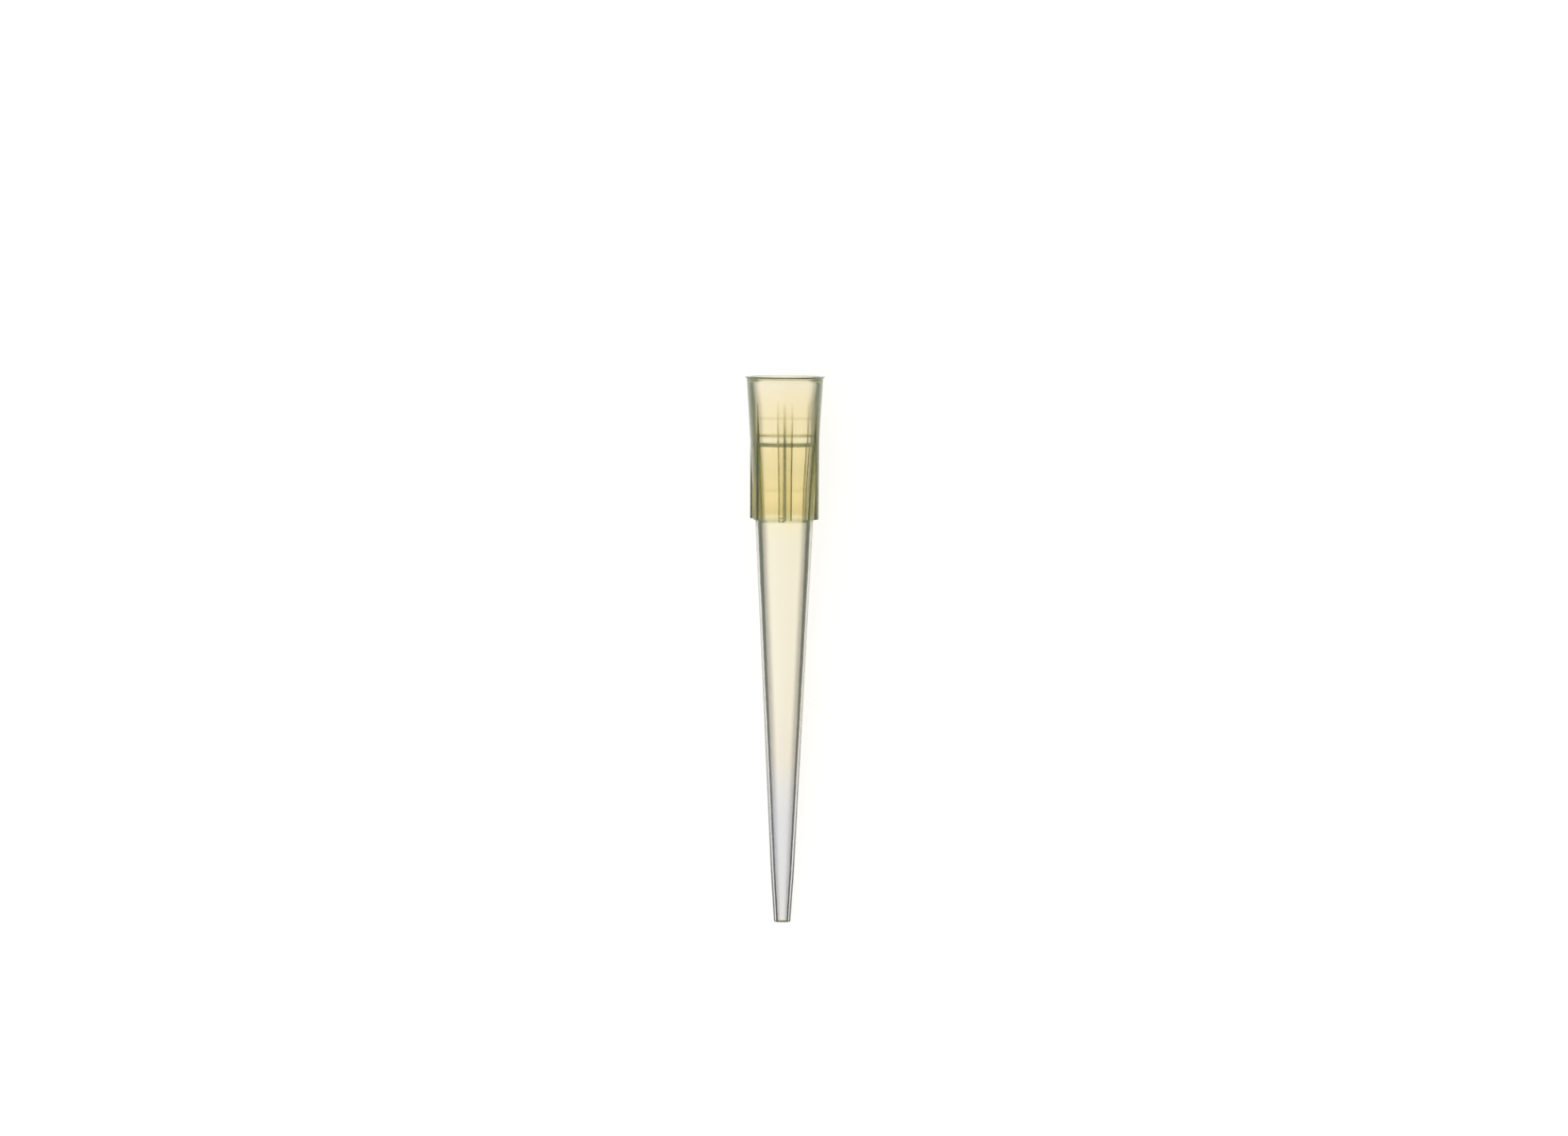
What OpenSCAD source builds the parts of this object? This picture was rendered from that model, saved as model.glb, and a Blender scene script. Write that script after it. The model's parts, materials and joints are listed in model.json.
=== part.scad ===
// Universal pipette tip for volumes up to 200 microlitres.
// It is one thin-walled moulding: a collar with a conical socket that pushes onto a
// pipette's nozzle, a long tapered body, and a steeper nose that ends at the orifice.
// Each tapered part is drawn standing on its orifice, with its axis on Z. The finished
// tip then lies on its side, as it comes to rest: on two neighbouring ribs and the
// nose, with the rim towards +X.

/* [Overall] */
// Length from the orifice to the rim
tip_len = 50.2; // [44:0.1:66]
// Length of the ribbed collar, from the foot of its ribs to the rim
collar_len = 13.1; // [10.8:0.1:18]
// Length of the nose, the steeper taper above the orifice
nose_len = 4.5; // [2:0.1:10]

/* [Socket] */
// Bore radius at the sealing land, which grips the nozzle
seal_r = 2.78; // [2.3:0.01:3.6]
// Length of the sealing land
seal_len = 0.7; // [0.3:0.05:1.5]
// Depth of the sealing land's upper edge below the rim
seal_depth = 5.4; // [4.4:0.1:8]
// Height by which the sealing land stands proud of the bore above it
seal_proud = 0.05; // [0.02:0.01:0.1]
// Width of the shoulder below the sealing land
seal_step = 0.14; // [0.05:0.01:0.3]
// Depth below the rim at which the bore's entry taper ends
guide_depth = 3.8; // [1.5:0.1:4.2]
// Extra bore radius where the entry taper ends, over the sealing land
guide_gap = 0.08; // [0.05:0.01:0.12]
// Extra bore radius at the mouth, over the sealing land
mouth_gap = 0.19; // [0.13:0.01:0.4]
// Width of the lead-in chamfer at the rim
lead_in_w = 0.24; // [0.1:0.01:0.35]
// Height of the lead-in chamfer at the rim
lead_in_h = 0.45; // [0.2:0.05:1]
// Bore radius at the throat, where the socket becomes the lumen
throat_r = 2.27; // [1.6:0.01:2.75]
// Depth of the throat below the rim
throat_depth = 10.4; // [8:0.1:14]

/* [Lumen and walls] */
// Radius of the orifice
orifice_r = 0.4; // [0.15:0.01:0.6]
// Radius of the lumen at the top of the nose
nose_bore_r = 0.66; // [0.4:0.01:0.9]
// Wall at the orifice
orifice_wall = 0.36; // [0.2:0.01:0.6]
// Wall at the top of the nose
nose_wall = 0.41; // [0.25:0.01:0.7]
// Wall of the body just below the collar
body_wall = 0.5; // [0.3:0.01:0.8]
// Wall of the collar at the mouth
mouth_wall = 0.55; // [0.4:0.01:0.9]

/* [Collar] */
// Width of the small step from the body out to the foot of the collar
foot_step_w = 0.07; // [0.03:0.01:0.2]
// Height of the small step from the body out to the foot of the collar
foot_step_h = 0.22; // [0.1:0.01:0.5]
// Width of the flared lip around the rim
lip_w = 0.17; // [0.05:0.01:0.3]
// Height of the flared lip
lip_h = 0.2; // [0.1:0.01:0.4]
// Height of the lip's upright edge
lip_edge = 0.04; // [0.02:0.01:0.08]

/* [Ribs] */
// Number of ribs around the collar
rib_count = 6; // [4:1:12]
// Height by which the ribs stand out from the foot of the collar
rib_stand = 0.6; // [0.2:0.01:0.8]
// Width of a rib at its foot
rib_foot_w = 0.64; // [0.3:0.01:0.8]
// Width of a rib at its upper end, wider so that the moulding draws out nose first
rib_top_w = 0.78; // [0.4:0.01:1]
// Length over which the ribs keep their radius
rib_straight = 7; // [3:0.1:8]
// Depth below the rim at which the ribs have faded into the collar
rib_end_depth = 1.5; // [0.6:0.1:2.5]

/* [Hidden] */
$fn = 96;

// How far a cutting or joining shape runs past the surface that it meets
overrun = 0.5;
// Depth below the collar's surface at which the fading ribs end
rib_sink = 0.03;

// Heights above the orifice
foot_z = tip_len - collar_len;
throat_z = tip_len - throat_depth;
seal_top_z = tip_len - seal_depth;
seal_foot_z = seal_top_z - seal_len;
guide_z = tip_len - guide_depth;
rib_full_z = foot_z + rib_straight;
rib_top_z = tip_len - rib_end_depth;

// Radius at height z on the straight line from (r0, z0) to (r1, z1)
function taper(z, r0, z0, r1, z1) = r0 + (r1 - r0) * (z - z0) / (z1 - z0);

// Radii of the bore and, one wall further out, of the outside
mouth_r = seal_r + mouth_gap;
body_bore_r = taper(foot_z, nose_bore_r, nose_len, throat_r, throat_z);
nose_tip_r = orifice_r + orifice_wall;
nose_top_r = nose_bore_r + nose_wall;
body_top_r = body_bore_r + body_wall;
collar_foot_r = body_top_r + foot_step_w;
collar_top_r = mouth_r + mouth_wall;
lip_r = collar_top_r + lip_w;
rib_r = collar_foot_r + rib_stand;
rib_fade_r = taper(rib_top_z, collar_foot_r, foot_z, collar_top_r, tip_len - lip_h) - rib_sink;

// At rest the lowest crest corners are half a rib pitch to either side of the lowest
// line. The tip tilts until it meets the ground there, or at the lip if that is lower,
// and at whichever end of the nose is lower. The rise is the slope of its axis.
pitch = 360 / rib_count;
crest_half_angle = asin(rib_foot_w / 2 / rib_r);
corner_drop = rib_r * cos(pitch / 2 - crest_half_angle);
function rise(drop, z) = min((drop - nose_tip_r) / z, (drop - nose_top_r) / (z - nose_len));
rest_tilt = atan(max(rise(corner_drop, foot_z), rise(lip_r, tip_len - lip_edge)));
orifice_drop = nose_tip_r * cos(rest_tilt);
nose_drop = nose_top_r * cos(rest_tilt) - nose_len * sin(rest_tilt);
rest_lift = max(orifice_drop, nose_drop);
rest_middle = (tip_len * cos(rest_tilt) + (lip_r - nose_tip_r) * sin(rest_tilt)) / 2;

// Outside of the moulding without its ribs, as half a section
module outer_outline() {
    polygon([
        [0, 0],
        [nose_tip_r, 0],
        [nose_top_r, nose_len],
        [body_top_r, foot_z - foot_step_h],
        [collar_foot_r, foot_z],
        [collar_top_r, tip_len - lip_h],
        [lip_r, tip_len - lip_edge],
        [lip_r, tip_len],
        [0, tip_len],
    ]);
}

// Lumen and socket, as half a section that runs past both ends
module bore_outline() {
    polygon([
        [0, -overrun],
        [orifice_r, -overrun],
        [orifice_r, 0],
        [nose_bore_r, nose_len],
        [throat_r, throat_z],
        [seal_r - seal_step, seal_foot_z - seal_step],
        [seal_r, seal_foot_z],
        [seal_r, seal_top_z],
        [seal_r + seal_proud, seal_top_z + seal_proud],
        [seal_r + guide_gap, guide_z],
        [mouth_r, tip_len - lead_in_h],
        [mouth_r + lead_in_w, tip_len],
        [mouth_r + lead_in_w, tip_len + overrun],
        [0, tip_len + overrun],
    ]);
}

// The room that the ribs may fill: one radius from their square-cut feet up, then
// fading into the flaring collar
module rib_envelope() {
    rotate_extrude()
        polygon([
            [0, foot_z],
            [rib_r, foot_z],
            [rib_r, rib_full_z],
            [rib_fade_r, rib_top_z],
            [0, rib_top_z],
        ]);
}

// One rib blade from the axis out past its crest, along +X. Its sides are parallel
// planes from root to crest and draw in towards the foot.
module rib_blade() {
    rotate([90, 0, 90])
        linear_extrude(rib_r + overrun)
            polygon([
                [-rib_foot_w / 2, foot_z],
                [rib_foot_w / 2, foot_z],
                [rib_top_w / 2, rib_top_z],
                [-rib_top_w / 2, rib_top_z],
            ]);
}

// The ribs, placed so that the lowest line of the lying tip falls between two of them
module ribs() {
    intersection() {
        rib_envelope();
        union() {
            for (i = [0 : rib_count - 1])
                rotate([0, 0, (i + 0.5) * pitch])
                    rib_blade();
        }
    }
}

// Lays a standing tip on its side and centres it over the origin
module at_rest() {
    translate([-rest_middle, 0, rest_lift])
        rotate([0, 90 - rest_tilt, 0])
            children();
}

module pipette_tip() {
    color([0.93, 0.86, 0.62, 0.75])
        at_rest()
            difference() {
                union() {
                    rotate_extrude()
                        outer_outline();
                    ribs();
                }
                rotate_extrude()
                    bore_outline();
            }
}

pipette_tip();
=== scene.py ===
"""Pipette tip: the moulded tip's surfaces and finish, and the stage that it lies on."""

import json
import math

import bmesh
import bpy
from bpy.props import FloatProperty, FloatVectorProperty, IntProperty, PointerProperty
from mathutils import Matrix, Vector


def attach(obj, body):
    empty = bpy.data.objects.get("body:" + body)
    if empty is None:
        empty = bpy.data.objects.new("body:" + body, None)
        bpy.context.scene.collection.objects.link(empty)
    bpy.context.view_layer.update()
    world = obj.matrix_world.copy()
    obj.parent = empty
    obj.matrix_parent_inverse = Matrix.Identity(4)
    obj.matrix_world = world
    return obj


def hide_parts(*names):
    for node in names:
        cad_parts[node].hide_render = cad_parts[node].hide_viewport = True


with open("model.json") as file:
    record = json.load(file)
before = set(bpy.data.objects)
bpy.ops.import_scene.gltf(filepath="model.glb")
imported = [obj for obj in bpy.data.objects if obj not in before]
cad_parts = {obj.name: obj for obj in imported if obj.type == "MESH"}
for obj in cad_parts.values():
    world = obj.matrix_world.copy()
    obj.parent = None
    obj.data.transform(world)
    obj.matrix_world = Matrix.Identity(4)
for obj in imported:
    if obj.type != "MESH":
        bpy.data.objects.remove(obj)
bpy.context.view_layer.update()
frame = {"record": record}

bl_info = {
    "name": "Pipette tip",
    "version": (1, 0, 0),
    "blender": (4, 5, 0),
    "location": "View3D > Sidebar > Pipette tip",
    "description": "Models a ribbed, tinted pipette tip and the stage that it lies on",
    "category": "Object",
}

CAD_NODE = "pipette_tip"
BODY = "root"
MM = 0.001

RIM = next(m for m in frame["record"]["mounts"] if m["name"] == "rim")
AXIS = Vector(RIM["axis"]).normalized()
RIM_CENTRE = Vector(RIM["pos_m"])
SIDE = Vector((0, 1, 0))
UP = AXIS.cross(SIDE).normalized()


class TipSizes(bpy.types.PropertyGroup):
    """Sizes of the tip, as it stands on its orifice, in millimetres"""

    length: FloatProperty(name="Length", description="Orifice to rim, in mm", default=50.2)
    rib_count: IntProperty(name="Ribs", description="Ribs around the collar", default=6)
    rib_foot: FloatProperty(
        name="Rib foot", description="Height of the ribs' feet above the orifice, in mm",
        default=37.1,
    )
    rib_full: FloatProperty(
        name="Rib full height", description="Height up to which the ribs keep their radius, in mm",
        default=44.1,
    )
    rib_end: FloatProperty(
        name="Rib end", description="Height at which the ribs have faded out, in mm", default=47.99
    )
    rib_stand: FloatProperty(
        name="Rib stand", description="Height of a rib over the collar at its foot, in mm",
        default=0.6,
    )
    rib_stand_full: FloatProperty(
        name="Rib stand where it fades", default=0.1642,
        description="Height of a rib where it starts to fade, in mm",
    )
    rib_angle: FloatProperty(
        name="Rib half width", description="Half the angle that a rib's root takes",
        default=math.radians(6.63), unit="ROTATION", subtype="ANGLE",
    )
    edge_round: FloatProperty(
        name="Edge rounding", description="Width of the rounding on the ribs' edges, in mm",
        default=0.05,
    )


class TipFinish(bpy.types.PropertyGroup):
    """Colour and gloss of the moulding"""

    depth_tint: FloatVectorProperty(
        name="Depth tint", description="Colour that thick plastic gives to the light in it",
        default=(0.88, 0.82, 0.20), size=3, min=0, max=1, subtype="COLOR",
    )
    depth: FloatProperty(
        name="Depth", description="How strongly the plastic absorbs light, for each metre",
        default=30.0,
    )
    roughness: FloatProperty(
        name="Haze", description="Least roughness of the moulded surface", default=0.03,
        subtype="FACTOR",
    )
    haze_spread: FloatProperty(
        name="Haze variation", description="How much the haze varies over the surface",
        default=0.05, subtype="FACTOR",
    )
    grain: FloatProperty(
        name="Grain", description="Depth of the surface's slight waviness", default=0.006 * MM,
        unit="LENGTH",
    )
    rib_haze: FloatProperty(
        name="Rib haze", description="Extra roughness of the ribs", default=0.15, subtype="FACTOR"
    )


class StageLook(bpy.types.PropertyGroup):
    """Camera, floor and light"""

    distance: FloatProperty(
        name="Camera distance", description="From the lens to the tip", default=0.7, unit="LENGTH"
    )
    lens: FloatProperty(name="Lens", description="Focal length, in mm", default=175.0)
    turn: FloatProperty(
        name="Camera turn", description="Turn of the camera about the tip's axis", unit="ROTATION",
        default=math.radians(23.7), subtype="ANGLE",
    )
    lean: FloatProperty(
        name="Camera lean", description="Lean of the camera towards the rim", unit="ROTATION",
        default=math.radians(3.4), subtype="ANGLE",
    )
    aim: FloatProperty(
        name="Camera aim", description="How far above the tip's middle the camera looks, in mm",
        default=7.5,
    )
    roll: FloatProperty(
        name="Camera roll", description="Roll of the camera about its line of sight",
        default=math.radians(0.3), unit="ROTATION", subtype="ANGLE",
    )
    floor_width: FloatProperty(
        name="Floor width", description="Width of the square floor", default=8.0, unit="LENGTH"
    )
    light: FloatProperty(
        name="Light", description="Brightness of the even light from all round", default=1.15
    )


# Corners of the wall's section as (radius, height, rounding) in mm: from the orifice up the
# outside, over the lip and the rim, and down the socket and the lumen. Where the rounding
# is 0, a point only adds a ring that the ribs' ends or a painted shade line need.
WALL = [
    (0.40, 0.0, 0.03),
    (0.76, 0.0, 0.05),
    (0.7683, 0.12, 0.0),
    (1.07, 4.5, 0.4),
    (2.6381, 36.7, 0.0),
    (2.6469, 36.88, 0.0),
    (2.7169, 37.1, 0.0),
    (2.7293, 37.3, 0.0),
    (3.1527, 44.1, 0.0),
    (3.3948, 47.99, 0.0),
    (3.5107, 49.85, 0.0),
    (3.52, 50.0, 0.05),
    (3.69, 50.16, 0.015),
    (3.69, 50.2, 0.015),
    (3.21, 50.2, 0.05),
    (2.97, 49.75, 0.12),
    (2.9602, 49.45, 0.0),
    (2.8659, 46.58, 0.0),
    (2.86, 46.4, 0.08),
    (2.8565, 46.22, 0.0),
    (2.8339, 45.05, 0.0),
    (2.8318, 44.94, 0.0),
    (2.83, 44.85, 0.02),
    (2.78, 44.8, 0.02),
    (2.78, 44.72, 0.0),
    (2.78, 44.62, 0.0),
    (2.78, 44.32, 0.0),
    (2.78, 44.18, 0.0),
    (2.78, 44.1, 0.04),
    (2.64, 43.96, 0.05),
    (2.6293, 43.84, 0.0),
    (2.6240, 43.78, 0.0),
    (2.286, 39.98, 0.0),
    (2.27, 39.8, 0.08),
    (2.2618, 39.62, 0.0),
    (0.66, 4.5, 0.4),
    (0.4069, 0.12, 0.0),
]
# Places in WALL: the collar's foot and top, between which it is a straight cone, and the
# first corner of the bore
COLLAR_FOOT, COLLAR_TOP, BORE_START = 6, 11, 14
# Faces across a rounded corner of the section or of a rib
CORNER_FACES = 3
# Steps in which a rib fades, and faces across its crest and across each gap beside it
FADE_RINGS = 6
CREST_FACES = 4
GAP_FACES = 9
# Shares of a rib's height at which its sides have an edge
RIB_LEVELS = (0.12, 0.65, 1.0)
# Width of the narrow faces beside a rib's corners, as an angle
CORNER_STEP = math.radians(1.4)
# Two of these stand on either side of each of a rib's corners
CORNER_STEPS = ((CORNER_STEP, 1), (CORNER_STEP, 1))
# Shares of a rib's height and of its half width above which a vertex is on its crest or side
CREST_SHARE = 0.9
SIDE_SHARE = 0.8
# Difference of height in mm from which an edge runs along a rib
RISING = 0.1
# Share of the rounding that a rib's side edges get for each share of its height over it
SIDE_ROUNDING = 0.2
# Sharpest angle that still looks smooth
SMOOTH_ANGLE = math.radians(32)
# Distances in mm within which a place counts as the same, from points to whole surfaces
SAME_POINT = 1e-5
SAME_VERTEX = 1e-4
SAME_RING = 1e-3
SAME_LEVEL = 0.01
SAME_SURFACE = 0.05


def nothing_selected():
    if bpy.context.mode != "OBJECT":
        bpy.ops.object.mode_set(mode="OBJECT")
    bpy.ops.object.select_all(action="DESELECT")


def pick(obj, kind, wanted):
    """Selects the vertices, edges or faces for which wanted(element) holds, in edit mode."""
    bpy.ops.mesh.select_mode(type=kind)
    bpy.ops.mesh.select_all(action="DESELECT")
    mesh = bmesh.from_edit_mesh(obj.data)
    elements = {"VERT": mesh.verts, "EDGE": mesh.edges, "FACE": mesh.faces}[kind]
    count = 0
    for element in elements:
        if wanted(element):
            element.select_set(True)
            count += 1
    mesh.select_flush_mode()
    bmesh.update_edit_mesh(obj.data)
    return count


def radius(v):
    return math.hypot(v.x, v.y)


def turn(v):
    return math.atan2(v.y, v.x)


def draw_section(name):
    """The wall's section, drawn corner by corner in the plane y = 0."""
    bpy.ops.mesh.primitive_plane_add(size=1, location=(0, 0, 0))
    obj = bpy.context.object
    obj.name = obj.data.name = name
    bpy.ops.object.mode_set(mode="EDIT")
    bpy.ops.mesh.select_all(action="SELECT")
    bpy.ops.mesh.merge(type="CENTER")
    r, z, _ = WALL[0]
    bpy.ops.transform.translate(value=(r, 0, z))
    for (r0, z0, _), (r1, z1, _) in zip(WALL, WALL[1:]):
        bpy.ops.mesh.extrude_region_move(
            TRANSFORM_OT_translate={"value": (r1 - r0, 0, z1 - z0)}
        )
    ends = [Vector((r, 0, z)) for r, z, _ in (WALL[0], WALL[-1])]
    pick(obj, "VERT", lambda v: min((v.co - e).length for e in ends) < SAME_POINT)
    bpy.ops.mesh.edge_face_add()
    for size in sorted({w for _, _, w in WALL if w > 0}):
        corners = [Vector((r, 0, z)) for r, z, w in WALL if w == size]
        pick(obj, "VERT", lambda v: min((v.co - c).length for c in corners) < SAME_POINT)
        bpy.ops.mesh.bevel(
            offset=size, segments=CORNER_FACES, affect="VERTICES", clamp_overlap=False
        )
    return obj


def collar_radius(z):
    """Radius of the collar between its ribs."""
    (r0, z0, _), (r1, z1, _) = WALL[COLLAR_FOOT], WALL[COLLAR_TOP]
    return r0 + (r1 - r0) * (z - z0) / (z1 - z0)


def stand(sizes, z):
    """Height of a rib's crest over the collar."""
    if z <= sizes.rib_full:
        share = (z - sizes.rib_foot) / (sizes.rib_full - sizes.rib_foot)
        return sizes.rib_stand + (sizes.rib_stand_full - sizes.rib_stand) * share
    share = (z - sizes.rib_full) / (sizes.rib_end - sizes.rib_full)
    return sizes.rib_stand_full * max(0.0, 1 - share)


def raise_rib(obj, sizes):
    """Extrudes the strip of the collar under the rib and brings each ring to its height."""
    middle = -math.pi / sizes.rib_count
    outward = Vector((math.cos(middle), math.sin(middle), 0))

    def in_strip(face):
        c = face.calc_center_median()
        return (
            sizes.rib_foot < c.z < sizes.rib_end
            and abs(turn(c) - middle) < sizes.rib_angle
            and radius(c) > collar_radius(c.z) - SAME_SURFACE
        )

    pick(obj, "FACE", in_strip)
    for low, high in zip((0.0, *RIB_LEVELS), RIB_LEVELS):
        bpy.ops.mesh.extrude_region_move(
            TRANSFORM_OT_translate={"value": outward * sizes.rib_stand * (high - low)}
        )

    def height(v):
        across = v.co.x * outward.y - v.co.y * outward.x
        return v.co.dot(outward) - math.sqrt(collar_radius(v.co.z) ** 2 - across**2)

    fade_step = (sizes.rib_end - sizes.rib_full) / FADE_RINGS
    fade = [sizes.rib_full + fade_step * k for k in range(FADE_RINGS + 1)]
    for z in [z for _, z, _ in WALL if sizes.rib_foot < z < sizes.rib_full] + fade:
        for level in RIB_LEVELS:
            pick(
                obj, "VERT",
                lambda v: abs(v.co.z - z) < SAME_RING
                and abs(height(v) - level * sizes.rib_stand) < SAME_LEVEL,
            )
            bpy.ops.transform.translate(value=outward * level * (stand(sizes, z) - sizes.rib_stand))
    bpy.ops.mesh.select_all(action="SELECT")
    bpy.ops.mesh.remove_doubles(threshold=SAME_VERTEX)


def round_rib(obj, sizes):
    """Rounds the rib's outer edges, less and less as it fades into the collar."""
    middle = -math.pi / sizes.rib_count
    outward = Vector((math.cos(middle), math.sin(middle), 0))
    across = Vector((-outward.y, outward.x, 0))
    bpy.ops.object.mode_set(mode="OBJECT")
    mesh = obj.data
    weights = mesh.attributes.new("bevel_weight_edge", "FLOAT", "EDGE")
    co = [v.co for v in mesh.vertices]

    def at_side(v):
        return abs(v.dot(across)) > SIDE_SHARE * radius(v) * math.sin(sizes.rib_angle)

    def raised(v):
        height = stand(sizes, v.z)
        return height > SAME_RING and radius(v) > collar_radius(v.z) + height * CREST_SHARE

    for edge in mesh.edges:
        a, b = (co[i] for i in edge.vertices)
        if not sizes.rib_foot - SAME_RING < (a.z + b.z) / 2 < sizes.rib_end:
            continue
        side = at_side(a) and at_side(b)
        crest = raised(a) and raised(b)
        at_foot = max(a.z, b.z) < sizes.rib_foot + SAME_RING
        if at_foot and (crest or side and abs(radius(a) - radius(b)) > SAME_LEVEL):
            weights.data[edge.index].value = 1.0
        elif side and crest and abs(a.z - b.z) > RISING:
            lower = min(stand(sizes, a.z), stand(sizes, b.z))
            weights.data[edge.index].value = min(1.0, SIDE_ROUNDING * lower / sizes.edge_round)
    bevel = obj.modifiers.new("edges", "BEVEL")
    bevel.limit_method = "WEIGHT"
    bevel.width = sizes.edge_round
    bevel.segments = CORNER_FACES
    bevel.use_clamp_overlap = False
    bevel.harden_normals = False
    bpy.ops.object.modifier_apply(modifier=bevel.name)


def copy_round(obj, count):
    """Copies the sector round the axis and joins the copies."""
    bpy.ops.object.mode_set(mode="EDIT")
    bpy.ops.mesh.select_mode(type="VERT")
    bpy.ops.mesh.select_all(action="SELECT")
    pitch = 2 * math.pi / count
    bpy.ops.mesh.spin(
        steps=count - 1, angle=pitch * (count - 1), center=(0, 0, 0), axis=(0, 0, 1), dupli=True,
        use_auto_merge=False,
    )
    bpy.ops.mesh.select_all(action="SELECT")
    bpy.ops.mesh.remove_doubles(threshold=SAME_RING)
    bpy.ops.mesh.normals_make_consistent(inside=False)
    bpy.ops.object.mode_set(mode="OBJECT")
    bpy.ops.object.shade_smooth_by_angle(angle=SMOOTH_ANGLE)


def along(table, z):
    """The value of a table of (height, value) at height z."""
    for (z0, v0), (z1, v1) in zip(table, table[1:]):
        if z0 <= z <= z1:
            return v0 + (v1 - v0) * (z - z0) / (z1 - z0)
    return table[0][1] if z < table[0][0] else table[-1][1]


# How deep the painted shade lines are by height in mm: dark lines painted into the colour
# on the bore's steps, on the outside between the ribs, along the ribs' corners and roots, and
# on their sides; and how much darker the ribs' crests are
BORE_LINES = [
    (0.0, 0.5), (0.06, 0.5), (0.12, 0.0),
    (39.62, 0.0), (39.74, 0.06), (39.86, 0.06), (39.98, 0.0),
    (43.78, 0.0), (43.84, 0.76), (43.92, 0.62), (44.03, 0.6), (44.07, 0.62), (44.14, 0.6),
    (44.18, 0.13), (44.32, 0.0),
    (44.62, 0.0), (44.72, 0.22), (44.79, 0.36), (44.86, 0.36), (44.94, 0.24), (45.05, 0.0),
    (46.22, 0.0), (46.34, 0.08), (46.46, 0.08), (46.58, 0.0),
    (49.45, 0.0), (49.6, 0.05), (50.2, 0.05),
]
OUTER_LINES = [
    (0.0, 0.6), (0.07, 0.6), (0.12, 0.0),
    (36.7, 0.0), (36.88, 0.05), (37.1, 0.22), (37.3, 0.0),
    (49.85, 0.0), (49.95, 0.4), (50.16, 0.42), (50.2, 0.12),
]
CORNER_LINES = [(37.1, 0.9), (44.0, 0.8), (45.4, 0.5), (46.7, 0.25), (47.99, 0.0)]
ROOT_LINES = [(37.1, 0.0), (40.0, 0.12), (43.5, 0.5), (45.4, 0.5), (46.7, 0.25), (47.99, 0.0)]
SIDE_SHADE = [(37.1, 0.1), (44.0, 0.18), (46.0, 0.15), (47.99, 0.0)]
CREST_SHADE = [(37.1, 0.25), (41.0, 0.19), (44.0, 0.11), (47.99, 0.0)]
# A vertex is on the bore below this height when it is no further than this from its radius
BORE_TOP = 50.19
BORE_REACH = 0.06
# Height over the collar, in mm, from which a vertex is fully a rib's
FULL_RIB = 0.15
# What is on a rib's side: this far out from its plane and this far in from it, in mm
SIDE_OUT, SIDE_IN = 0.03, 0.055
# How far the corners reach down from the crest and the root up from the collar, in mm
CORNER_DEPTH = 0.055
ROOT_HEIGHT = 0.02
# Width of the strip on the crest beside a corner, and how much of the corner's line it gets
STRIP_WIDTH = 0.1
STRIP_SHARE = 0.75


def mark_painted_lines(obj, sizes):
    """Stores on each vertex how much it is the bore's and a rib's, and its painted line shade."""
    mesh = obj.data
    bore = mesh.attributes.new("bore", "FLOAT", "POINT")
    rib = mesh.attributes.new("rib", "FLOAT", "POINT")
    line = mesh.attributes.new("painted_line_shade", "FLOAT", "POINT")
    pitch = 2 * math.pi / sizes.rib_count
    bore_radius = [(z, r) for r, z, _ in (WALL[0], *reversed(WALL[BORE_START:]))]
    for i, v in enumerate(mesh.vertices):
        z, r = v.co.z, radius(v.co)
        inside = r < along(bore_radius, z) + BORE_REACH and z < BORE_TOP
        bore.data[i].value = float(inside)
        if inside:
            line.data[i].value = along(BORE_LINES, z)
            continue
        value = along(OUTER_LINES, z)
        if sizes.rib_foot - SAME_RING <= z < sizes.rib_end:
            off = abs((turn(v.co) / pitch) % 1 - 0.5) * pitch
            across = r * math.sin(off)
            half = collar_radius(z) * math.sin(sizes.rib_angle)
            height = r - collar_radius(z)
            rib.data[i].value = min(1.0, max(0.0, height / FULL_RIB))
            if -SIDE_IN < across - half < SIDE_OUT:
                table = SIDE_SHADE
                if height > stand(sizes, z) - CORNER_DEPTH:
                    table = CORNER_LINES
                elif height < ROOT_HEIGHT:
                    table = ROOT_LINES
                value = max(value, along(table, z))
            elif half - STRIP_WIDTH < across < half:
                value = max(value, STRIP_SHARE * along(CORNER_LINES, z))
            elif across < half:
                value = max(value, along(CREST_SHADE, z))
        line.data[i].value = value


def lay_down(obj, sizes):
    """Lays the standing tip down where the frame has it, and applies its place."""
    down = AXIS.cross(SIDE) * -1
    place = Matrix((down, SIDE, AXIS)).transposed().to_4x4()
    place.translation = RIM_CENTRE - AXIS * sizes.length * MM
    obj.matrix_world = place @ Matrix.Scale(MM, 4)
    bpy.ops.object.transform_apply(location=True, rotation=True, scale=True)


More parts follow.
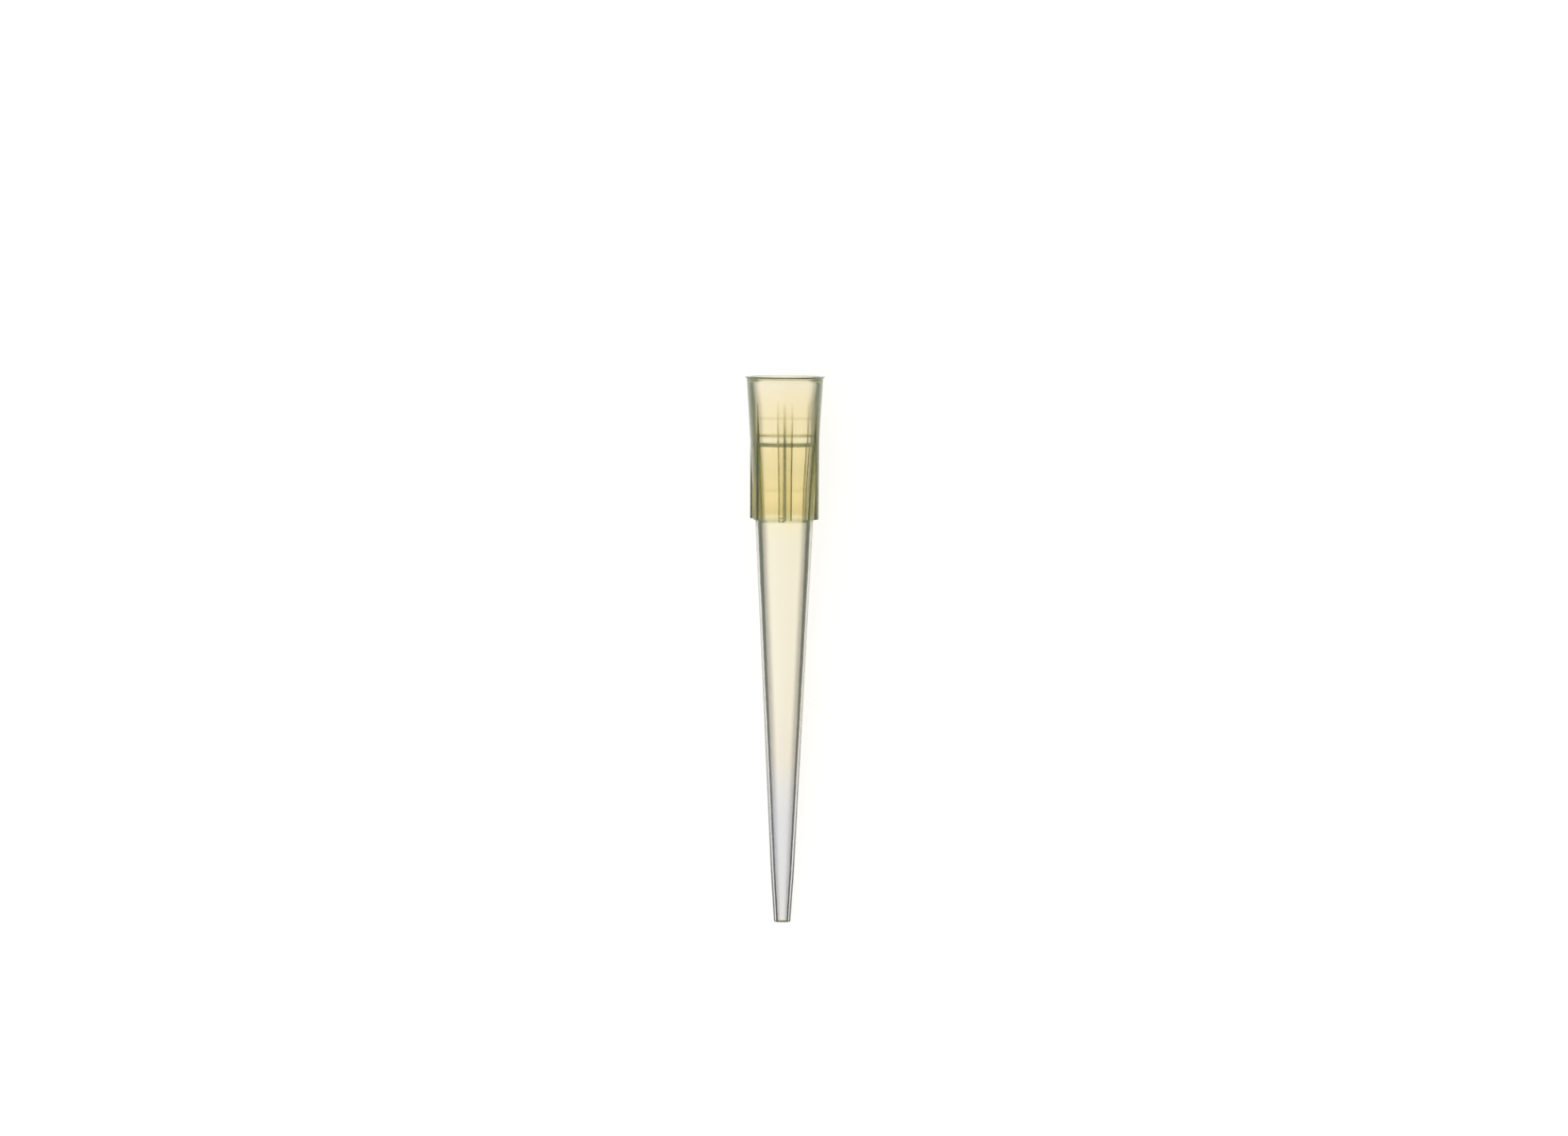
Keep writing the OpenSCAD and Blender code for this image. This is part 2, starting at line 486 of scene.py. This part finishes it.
class PIPETTETIP_OT_moulding(bpy.types.Operator):
    """Models the whole tip as one closed moulding, ribs and socket included"""

    bl_idname = "pipette_tip.moulding"
    bl_label = "Tip moulding"

    def execute(self, context):
        sizes = context.scene.tip_sizes
        nothing_selected()
        obj = draw_section("tip_moulding")
        fade = [
            Vector((r, 0, z))
            for r, z, _ in WALL
            if min(abs(z - sizes.rib_full), abs(z - sizes.rib_end)) < SAME_RING
        ]
        pick(
            obj, "EDGE",
            lambda e: all(min((v.co - f).length for f in fade) < SAME_VERTEX for v in e.verts),
        )
        bpy.ops.mesh.subdivide(number_cuts=FADE_RINGS - 1)
        bpy.ops.mesh.select_mode(type="VERT")
        bpy.ops.mesh.select_all(action="SELECT")
        half = sizes.rib_angle
        gap = (math.pi / sizes.rib_count - half - CORNER_STEP, GAP_FACES)
        crest = (2 * half - 2 * CORNER_STEP, CREST_FACES)
        for angle, steps in (gap, *CORNER_STEPS, crest, *CORNER_STEPS, gap):
            bpy.ops.mesh.spin(
                steps=steps, angle=angle, center=(0, 0, 0), axis=(0, 0, 1), use_auto_merge=False
            )
        raise_rib(obj, sizes)
        round_rib(obj, sizes)
        copy_round(obj, sizes.rib_count)
        mark_painted_lines(obj, sizes)
        lay_down(obj, sizes)
        obj.data.materials.append(tinted_polypropylene(context.scene.tip_finish, sizes.length))
        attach(obj, BODY)
        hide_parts(CAD_NODE)
        return {"FINISHED"}


# The tables below go by the height above the orifice in mm, unless they say otherwise

# Tint of the plastic, yellow in the collar; the grey of the nose is painted shade, not a tint
TINT_AND_SHADE = [
    (0.0, (0.90, 0.89, 0.89)),
    (3.0, (0.885, 0.885, 0.90)),
    (9.0, (0.88, 0.885, 0.915)),
    (12.6, (0.915, 0.907, 0.905)),
    (15.0, (0.95, 0.918, 0.865)),
    (20.0, (0.967, 0.938, 0.866)),
    (24.0, (0.97, 0.942, 0.868)),
    (35.0, (0.972, 0.942, 0.857)),
    (36.6, (0.98, 0.95, 0.82)),
    (36.9, (0.98, 0.96, 0.86)),
    (37.3, (0.97, 0.94, 0.80)),
    (37.5, (0.90, 0.82, 0.56)),
    (37.9, (0.894, 0.815, 0.553)),
    (39.0, (0.945, 0.862, 0.591)),
    (41.6, (0.925, 0.854, 0.612)),
    (43.6, (0.96, 0.887, 0.657)),
    (44.2, (0.95, 0.91, 0.76)),
    (44.7, (0.95, 0.91, 0.76)),
    (44.9, (0.96, 0.9, 0.715)),
    (47.6, (0.962, 0.907, 0.742)),
    (49.3, (0.965, 0.92, 0.80)),
    (50.2, (1.0, 0.99, 0.96)),
]
# Colour of a painted shade line by its depth: where light comes in or crosses the bore's near
# side, and on the far side, where it is seen through the tip
NEAR_LINE_PAINTED_SHADE = [
    (0.0, (1.0, 1.0, 1.0)),
    (0.1, (0.82, 0.80, 0.68)),
    (0.25, (0.64, 0.63, 0.38)),
    (0.5, (0.22, 0.22, 0.12)),
    (0.75, (0.03, 0.045, 0.012)),
    (1.0, (0.03, 0.045, 0.012)),
]
FAR_LINE_PAINTED_SHADE = [
    (0.0, (1.0, 1.0, 1.0)),
    (0.1, (0.90, 0.88, 0.80)),
    (0.4, (0.85, 0.83, 0.70)),
    (0.5, (0.40, 0.39, 0.25)),
    (0.56, (0.85, 0.83, 0.70)),
    (0.66, (0.85, 0.83, 0.70)),
    (0.74, (0.12, 0.13, 0.07)),
    (1.0, (0.12, 0.13, 0.07)),
]
# Share of the height above which the outside's lines are seen as far ones
RIM_SHARE = 0.993

IOR = 1.49
# Waves of the surface's grain in each metre, and how fine they get
GRAIN_SCALE = 900.0
GRAIN_DETAIL = 3.0
# Light that each surface lets pass on its way to the floor
SHADOW_TINT = (0.985, 0.98, 0.965)
# Light Path counts whole steps, so these lie between two of them: reflected at all, came in
# once, came in twice, and reflected so often that the light runs along the wall
REFLECTED = 0.5
CAME_IN_ONCE = 1.5
CAME_IN_TWICE = 2.5
PIPED = 2.5
# Painted shade on light that has run along the wall, as it comes out
PIPED_SHADE = [
    (0.0, (0.5, 0.5, 0.5)),
    (30.0, (0.5, 0.5, 0.5)),
    (37.0, (0.24, 0.26, 0.14)),
    (50.2, (0.24, 0.26, 0.14)),
]

# The edges' painted shade: dark bands painted into the glass's colour along its sides, with a
# painted gleam in them. A lean is the share of the outside's radius, from 0 in the middle of the
# tip to 1 at its outline, at which light with that lean is seen from the side.

# Colour that the full painted edge shade lets pass
PAINTED_EDGE_SHADE = [
    (0.0, (0.003, 0.003, 0.003)),
    (9.0, (0.011, 0.011, 0.011)),
    (20.0, (0.009, 0.011, 0.007)),
    (36.5, (0.007, 0.011, 0.005)),
    (37.5, (0.018, 0.028, 0.008)),
    (44.0, (0.018, 0.028, 0.008)),
    (50.2, (0.016, 0.028, 0.008)),
]
# The lean at the bore's limb, and where the bands in the wall end
WALL_SHARE = [
    (0.0, 0.56), (2.7, 0.588), (8.7, 0.667), (17.4, 0.735), (24.3, 0.768), (33.0, 0.797),
    (39.8, 0.79), (44.0, 0.85), (50.2, 0.86),
]
WALL_END = [
    (0.0, 0.98), (2.7, 0.99), (8.7, 1.03), (24.3, 1.09), (37.0, 1.09), (38.0, 1.06), (50.2, 1.06),
]
# The lean up to which the window is clear, and how much less it is behind a rib
WINDOW = [
    (0.0, 0.36), (2.7, 0.385), (8.7, 0.48), (17.4, 0.53), (24.3, 0.587), (33.0, 0.66),
    (37.7, 0.66), (39.0, 0.655), (43.3, 0.66), (45.9, 0.66), (47.6, 0.69), (49.3, 0.76),
    (50.2, 0.78),
]
RIB_WINDOW = 0.14
# How sharp the window's edge is, how the shade rises there, and how deep it gets
SHARPNESS = [
    (0.0, 0.6), (9.0, 0.52), (16.0, 0.75), (24.0, 1.0), (36.8, 1.0), (37.6, 2.5), (44.0, 2.2),
    (46.5, 1.2), (50.2, 1.2),
]
WINDOW_EDGE = [(-0.14, 0.0), (-0.06, 0.3), (0.0, 0.75), (0.06, 0.95), (0.10, 1.0)]
SOFT_SHADE = [(0.0, 0.64), (9.0, 0.64), (24.0, 0.74), (36.8, 0.8), (37.6, 0.82), (50.2, 0.82)]
# The lean from which the shade gets full, and how it rises past it
BAND_START = [(0.0, 0.69), (37.0, 0.7), (44.0, 0.71), (47.6, 0.72), (49.3, 0.77), (50.2, 0.79)]
BAND_EDGE = [(-0.02, 0.0), (0.03, 0.7), (0.08, 0.95), (0.1, 1.0)]
# From 0 at the bore's limb to 1 where the bands end: the painted shade, and where a painted gleam
# breaks it
LIMB_SHADE = [(-0.7, 0.92), (-0.1, 1.0), (1.0, 1.0)]
GLEAM_BAND = [(0.36, 0.0), (0.46, 1.0), (0.56, 1.0), (0.64, 0.0)]
# How strong that painted gleam is
GLEAM = [(0.0, 0.95), (15.0, 0.9), (25.0, 0.78), (36.0, 0.72), (38.0, 0.1), (50.2, 0.1)]
# How much of the shade the ribs escape, and how much of it light escapes that left a rib and
# came in again beside it, past this lean
RIB_CLEAR = 0.6
AGAIN_CLEAR = 0.75
PAST_BORE = 0.885


def ramp(nodes, stops):
    """A colour ramp with the given (position, colour) stops."""
    made = nodes.new("ShaderNodeValToRGB")
    elements = made.color_ramp.elements
    while len(elements) < len(stops):
        elements.new(0.5)
    for element, (position, colour) in zip(elements, stops):
        element.position = position
        element.color = (*colour, 1.0)
    return made


def node(nodes, kind, **settings):
    """A new node with its settings; a name that is an input's takes that input's value."""
    made = nodes.new(kind)
    for name, value in settings.items():
        if hasattr(made, name):
            setattr(made, name, value)
        else:
            made.inputs[name.replace("_", " ")].default_value = value
    return made


def tinted_polypropylene(finish, length):
    """Clear polypropylene, tinted most in the collar and hardly at all in the nose, with painted
    shade: a grey nose, dark lines and dark edges.
    """
    material = bpy.data.materials.new("tinted_polypropylene")
    material.use_nodes = True
    nodes, links = material.node_tree.nodes, material.node_tree.links
    nodes.remove(nodes["Principled BSDF"])

    def maths(operation, *values):
        made = node(nodes, "ShaderNodeMath", operation=operation)
        for socket, value in zip(made.inputs, values):
            if isinstance(value, (int, float)):
                socket.default_value = value
            else:
                links.new(value, socket)
        return made.outputs[0]

    def by_height(table):
        """A ramp over the tip's height from (height, colour or number) stops."""
        stops = [(z / length, v if isinstance(v, tuple) else (v, v, v)) for z, v in table]
        made = ramp(nodes, stops)
        links.new(height.outputs["Result"], made.inputs["Fac"])
        return made.outputs["Color"]

    def profile(table, value):
        """A number that depends on value as the table of (value, number) says."""
        low, high = table[0][0], table[-1][0]
        place = node(nodes, "ShaderNodeMapRange", From_Min=low, From_Max=high)
        links.new(value, place.inputs["Value"])
        made = ramp(nodes, [((x - low) / (high - low), (v, v, v)) for x, v in table])
        links.new(place.outputs["Result"], made.inputs["Fac"])
        return made.outputs["Color"]

    def multiplied(colour, tint, depth=None):
        """colour, multiplied by tint everywhere or as deeply as depth says."""
        made = node(nodes, "ShaderNodeMix", data_type="RGBA", blend_type="MULTIPLY", Factor=1.0)
        if depth is not None:
            links.new(depth, made.inputs["Factor"])
        links.new(colour, made.inputs["A"])
        links.new(tint, made.inputs["B"])
        return made.outputs["Result"]

    def glass(colour):
        made = nodes.new("ShaderNodeBsdfPrincipled")
        made.inputs["Transmission Weight"].default_value = 1.0
        made.inputs["IOR"].default_value = IOR
        links.new(haze, made.inputs["Roughness"])
        links.new(bump.outputs["Normal"], made.inputs["Normal"])
        links.new(colour, made.inputs["Base Color"])
        return made.outputs["BSDF"]

    def mix(factor, first, second):
        made = nodes.new("ShaderNodeMixShader")
        links.new(factor, made.inputs["Fac"])
        links.new(first, made.inputs[1])
        links.new(second, made.inputs[2])
        return made.outputs["Shader"]

    def without(value, share):
        """value, less by the given share of itself."""
        return maths("MULTIPLY", value, maths("SUBTRACT", 1.0, share))

    place = nodes.new("ShaderNodeTexCoord")
    axial = node(nodes, "ShaderNodeVectorMath", operation="DOT_PRODUCT")
    axial.inputs[1].default_value = AXIS
    links.new(place.outputs["Object"], axial.inputs[0])
    top = RIM_CENTRE.dot(AXIS)
    height = node(nodes, "ShaderNodeMapRange", From_Min=top - length * MM, From_Max=top)
    links.new(axial.outputs["Value"], height.inputs["Value"])

    side = nodes.new("ShaderNodeNewGeometry")
    inside = node(nodes, "ShaderNodeAttribute", attribute_name="bore")
    marked = node(nodes, "ShaderNodeAttribute", attribute_name="painted_line_shade")
    rib = node(nodes, "ShaderNodeAttribute", attribute_name="rib")
    ray = nodes.new("ShaderNodeLightPath")

    # Grain and haze
    waves = node(nodes, "ShaderNodeTexNoise", Scale=GRAIN_SCALE, Detail=GRAIN_DETAIL)
    links.new(place.outputs["Object"], waves.inputs["Vector"])
    bump = node(nodes, "ShaderNodeBump", Distance=finish.grain)
    links.new(waves.outputs["Fac"], bump.inputs["Height"])
    haze = maths("ADD", maths("MULTIPLY", rib.outputs["Fac"], finish.rib_haze), finish.roughness)
    haze = maths("ADD", haze, maths("MULTIPLY", waves.outputs["Fac"], finish.haze_spread))

    # Tint, and the painted shade lines
    far = without(inside.outputs["Fac"], side.outputs["Backfacing"])
    leaving = without(side.outputs["Backfacing"], inside.outputs["Fac"])
    at_rim = maths("GREATER_THAN", height.outputs["Result"], RIM_SHARE)
    far = maths("MAXIMUM", far, maths("MULTIPLY", leaving, at_rim))
    near_line = ramp(nodes, NEAR_LINE_PAINTED_SHADE)
    far_line = ramp(nodes, FAR_LINE_PAINTED_SHADE)
    for made in (near_line, far_line):
        links.new(marked.outputs["Fac"], made.inputs["Fac"])
    line = node(nodes, "ShaderNodeMix", data_type="RGBA")
    links.new(far, line.inputs["Factor"])
    links.new(near_line.outputs["Color"], line.inputs["A"])
    links.new(far_line.outputs["Color"], line.inputs["B"])
    tint_and_line_shade = multiplied(by_height(TINT_AND_SHADE), line.outputs["Result"])

    # Painted shade: the glass's colour is made darker towards its edges, since the even light and
    # the pale floor give no dark bands. The shade is set where light leaves the outside, by how far
    # it leans there from the surface's own normal. With an even blend, Facing is one less the
    # cosine of that angle.
    weight = node(nodes, "ShaderNodeLayerWeight", Blend=0.5)
    upright = maths("SUBTRACT", 1.0, weight.outputs["Facing"])
    lean = maths("SQRT", maths("SUBTRACT", 1.0, maths("MULTIPLY", upright, upright)))
    lean = maths("MULTIPLY", lean, IOR)
    limb = by_height(WALL_SHARE)
    band_width = maths("SUBTRACT", by_height(WALL_END), limb)
    past_bore = maths("DIVIDE", maths("SUBTRACT", lean, limb), band_width)
    behind_rib = maths("MULTIPLY", rib.outputs["Fac"], RIB_WINDOW)
    limit = maths("SUBTRACT", by_height(WINDOW), behind_rib)
    past_window = maths("MULTIPLY", maths("SUBTRACT", lean, limit), by_height(SHARPNESS))
    soft = maths("MULTIPLY", profile(WINDOW_EDGE, past_window), by_height(SOFT_SHADE))
    band = profile(BAND_EDGE, maths("SUBTRACT", lean, by_height(BAND_START)))
    # Light that the bore reflects, or that misses it, stays in the wall and gets the full painted
    # shade
    reflected = maths("GREATER_THAN", ray.outputs["Glossy Depth"], REFLECTED)
    missed = maths("GREATER_THAN", lean, maths("MULTIPLY", limb, IOR))
    in_wall = maths("LESS_THAN", ray.outputs["Transmission Depth"], CAME_IN_ONCE)
    in_wall = maths("MULTIPLY", in_wall, maths("MAXIMUM", reflected, missed))
    shade = maths("MAXIMUM", maths("MAXIMUM", soft, band), in_wall)
    shade = maths("MULTIPLY", shade, profile(LIMB_SHADE, past_bore))
    gleam = maths("MULTIPLY", profile(GLEAM_BAND, past_bore), by_height(GLEAM))
    shade = without(shade, gleam)
    shade = without(shade, maths("MULTIPLY", rib.outputs["Fac"], RIB_CLEAR))
    again = maths("GREATER_THAN", ray.outputs["Transmission Depth"], CAME_IN_TWICE)
    again = maths("MULTIPLY", again, maths("GREATER_THAN", lean, PAST_BORE))
    shade = without(shade, maths("MULTIPLY", again, AGAIN_CLEAR))
    # The tint and painted lines, with the painted edge shade where light leaves the outside
    edge_shaded = multiplied(tint_and_line_shade, by_height(PAINTED_EDGE_SHADE), maths("MULTIPLY", shade, leaving))

    # The camera's own light meets the glass with the tint and the painted lines. Other light meets
    # the one with the painted edge shade too, and passes straight through where it runs along the
    # wall, with painted shade, or only lights the floor.
    piped = maths("GREATER_THAN", ray.outputs["Glossy Depth"], PIPED)
    piped = maths("MULTIPLY", piped, side.outputs["Backfacing"])
    straight = nodes.new("ShaderNodeBsdfTransparent")
    links.new(by_height(PIPED_SHADE), straight.inputs["Color"])
    through = nodes.new("ShaderNodeBsdfTransparent")
    through.inputs["Color"].default_value = (*SHADOW_TINT, 1.0)
    inner = mix(piped, glass(edge_shaded), straight.outputs["BSDF"])
    inner = mix(ray.outputs["Is Shadow Ray"], inner, through.outputs["BSDF"])
    inner = mix(ray.outputs["Is Diffuse Ray"], inner, through.outputs["BSDF"])
    seen = mix(ray.outputs["Is Camera Ray"], inner, glass(tint_and_line_shade))
    output = nodes["Material Output"]
    links.new(seen, output.inputs["Surface"])
    absorption = nodes.new("ShaderNodeVolumeAbsorption")
    absorption.inputs["Color"].default_value = (*finish.depth_tint, 1.0)
    absorption.inputs["Density"].default_value = finish.depth
    links.new(absorption.outputs["Volume"], output.inputs["Volume"])
    return material


# The floor's darkest and palest grey, and its range of roughness
FLOOR_GREYS = (0.885, 0.915)
FLOOR_ROUGHNESS = (0.65, 0.75)
# Waves of the floor's slight unevenness in each metre, and how fine they get
FLOOR_SCALE = 60.0
FLOOR_DETAIL = 4.0
# Depth of the floor below the ground that the tip lies on, in m
FLOOR_DROP = 0.01 * MM


def floor_paint():
    """Pale matt paint with a slight unevenness."""
    paint = bpy.data.materials.new("floor_paint")
    paint.use_nodes = True
    nodes, links = paint.node_tree.nodes, paint.node_tree.links
    board = nodes["Principled BSDF"]
    place = nodes.new("ShaderNodeTexCoord")
    waves = node(nodes, "ShaderNodeTexNoise", Scale=FLOOR_SCALE, Detail=FLOOR_DETAIL)
    links.new(place.outputs["Object"], waves.inputs["Vector"])
    grey = ramp(nodes, [(i, (v, v, v)) for i, v in enumerate(FLOOR_GREYS)])
    links.new(waves.outputs["Fac"], grey.inputs["Fac"])
    links.new(grey.outputs["Color"], board.inputs["Base Color"])
    dull = node(nodes, "ShaderNodeMapRange", To_Min=FLOOR_ROUGHNESS[0], To_Max=FLOOR_ROUGHNESS[1])
    links.new(waves.outputs["Fac"], dull.inputs["Value"])
    links.new(dull.outputs["Result"], board.inputs["Roughness"])
    return paint


class PIPETTETIP_OT_stage(bpy.types.Operator):
    """Lays the floor, sets the soft light and places the camera"""

    bl_idname = "pipette_tip.stage"
    bl_label = "Stage"

    def execute(self, context):
        look = context.scene.tip_stage
        sizes = context.scene.tip_sizes
        nothing_selected()
        bpy.ops.mesh.primitive_plane_add(size=look.floor_width, location=(0, 0, -FLOOR_DROP))
        floor = context.object
        floor.name = "floor"
        bpy.ops.object.transform_apply(location=True, rotation=False, scale=False)
        floor.data.materials.append(floor_paint())
        world = context.blend_data.worlds.new("studio")
        world.use_nodes = True
        light = world.node_tree.nodes["Background"]
        light.inputs["Color"].default_value = (1, 1, 1, 1)
        light.inputs["Strength"].default_value = look.light
        context.scene.world = world
        context.scene.view_settings.view_transform = "Standard"

        towards = Matrix.Rotation(look.turn, 3, AXIS) @ UP
        towards = Matrix.Rotation(look.lean, 3, AXIS.cross(UP) * -1) @ towards
        aim = RIM_CENTRE - AXIS * (sizes.length / 2 - look.aim) * MM
        data = context.blend_data.cameras.new("camera")
        camera = context.blend_data.objects.new("camera", data)
        context.collection.objects.link(camera)
        data.lens = look.lens
        camera.location = aim + towards.normalized() * look.distance
        back = towards.normalized()
        right = AXIS.cross(back).normalized()
        rotation = Matrix((right, back.cross(right), back)).transposed()
        camera.rotation_mode = "QUATERNION"
        camera.rotation_quaternion = (rotation @ Matrix.Rotation(look.roll, 3, "Z")).to_quaternion()
        context.scene.camera = camera
        return {"FINISHED"}


class PIPETTETIP_PT_panel(bpy.types.Panel):
    """The tip's pieces and their sizes"""

    bl_idname = "PIPETTETIP_PT_panel"
    bl_label = "Pipette tip"
    bl_space_type = "VIEW_3D"
    bl_region_type = "UI"
    bl_category = "Pipette tip"

    def draw(self, context):
        scene = context.scene
        for group in (scene.tip_sizes, scene.tip_finish, scene.tip_stage):
            for field in type(group).__annotations__:
                self.layout.prop(group, field)
        self.layout.operator(PIPETTETIP_OT_moulding.bl_idname)
        self.layout.operator(PIPETTETIP_OT_stage.bl_idname)


CLASSES = (
    TipSizes, TipFinish, StageLook,
    PIPETTETIP_OT_moulding, PIPETTETIP_OT_stage, PIPETTETIP_PT_panel,
)


def register():
    for c in CLASSES:
        bpy.utils.register_class(c)
    bpy.types.Scene.tip_sizes = PointerProperty(type=TipSizes)
    bpy.types.Scene.tip_finish = PointerProperty(type=TipFinish)
    bpy.types.Scene.tip_stage = PointerProperty(type=StageLook)


def unregister():
    del bpy.types.Scene.tip_stage, bpy.types.Scene.tip_finish, bpy.types.Scene.tip_sizes
    for c in reversed(CLASSES):
        bpy.utils.unregister_class(c)


def main():
    register()
    bpy.ops.pipette_tip.moulding()
    bpy.ops.pipette_tip.stage()


if __name__ == "__main__":
    main()
